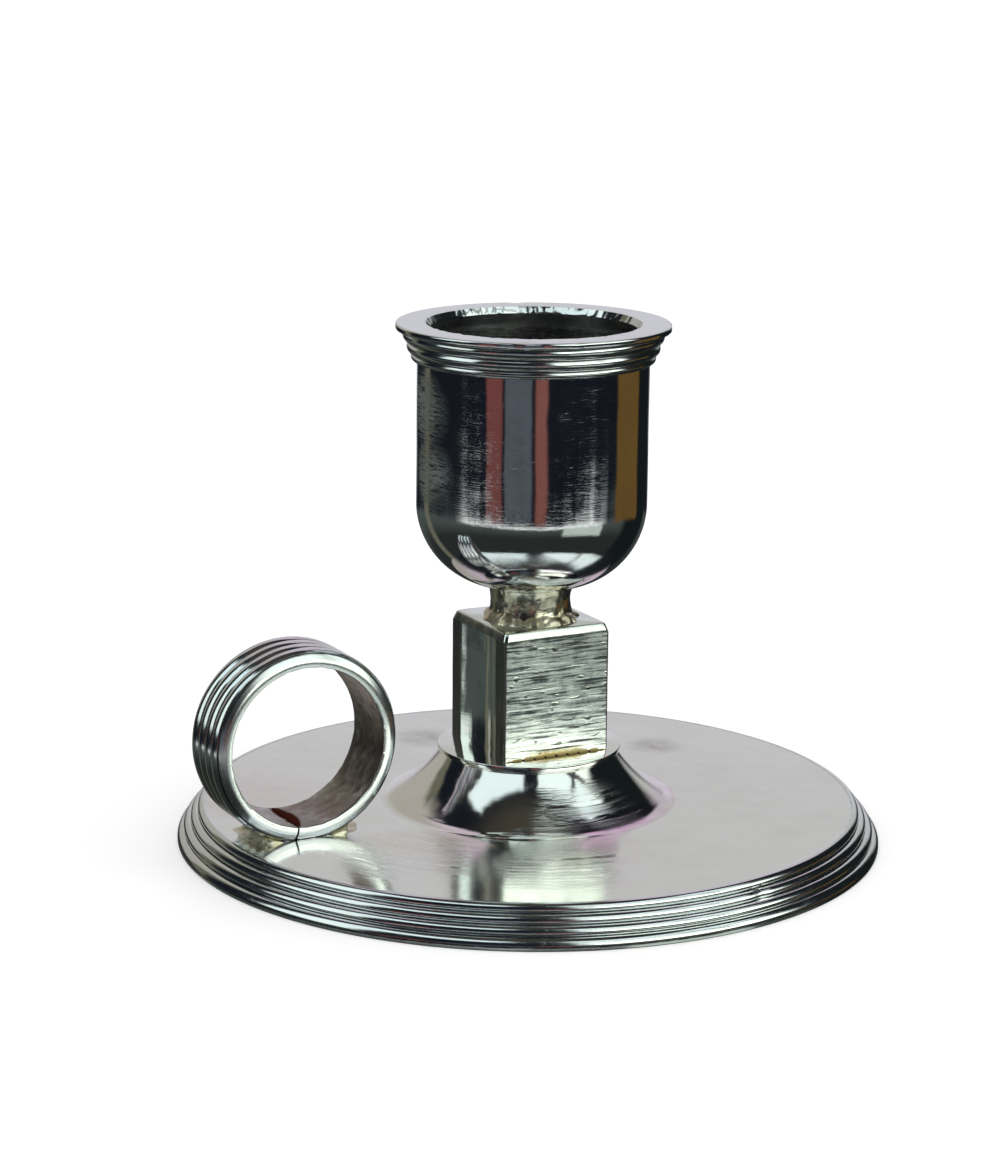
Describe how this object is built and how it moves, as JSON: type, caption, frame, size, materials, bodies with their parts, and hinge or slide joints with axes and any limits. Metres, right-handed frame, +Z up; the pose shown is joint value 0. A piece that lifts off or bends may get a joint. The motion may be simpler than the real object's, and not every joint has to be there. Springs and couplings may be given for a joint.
{
  "type": "chamberstick",
  "caption": "Round reeded dish carrying a square pillar and a candle socket with a reeded rim, with a finger loop standing on the dish at one side.",
  "frame": {"origin": "centre of the underside, on the plane the chamberstick stands on", "axes": "+Z up along the socket's axis; the finger loop is towards -X; the pillar's flat faces look along -Y and +Y and its coved faces along -X and +X"},
  "size_m": [0.076, 0.076, 0.056],
  "materials": {
    "dish_silver": "polished silver with fine scratches and a light warm tarnish",
    "reeded_silver": "polished silver, dark tarnish in the creases between the reeds",
    "stem_silver": "polished silver with yellow tarnish round the joints",
    "pillar_silver": "filed silver with level file marks on the flat faces, softened at the edges",
    "socket_silver": "polished silver, scuffed outside and darkly tarnished inside",
    "solder": "rough silver solder, yellowed"
  },
  "bodies": {
    "root": {"dish": "dish_silver", "base_border": "reeded_silver", "boss": "stem_silver", "boss_plate": "stem_silver", "pillar_block": "pillar_silver", "pillar_cap": "pillar_silver", "pillar_solder": "solder", "neck": "stem_silver", "neck_solder": "solder", "socket_cup": "socket_silver", "socket_rim": "reeded_silver", "finger_loop": "reeded_silver", "loop_solder": "solder"}
  },
  "joints": []
}
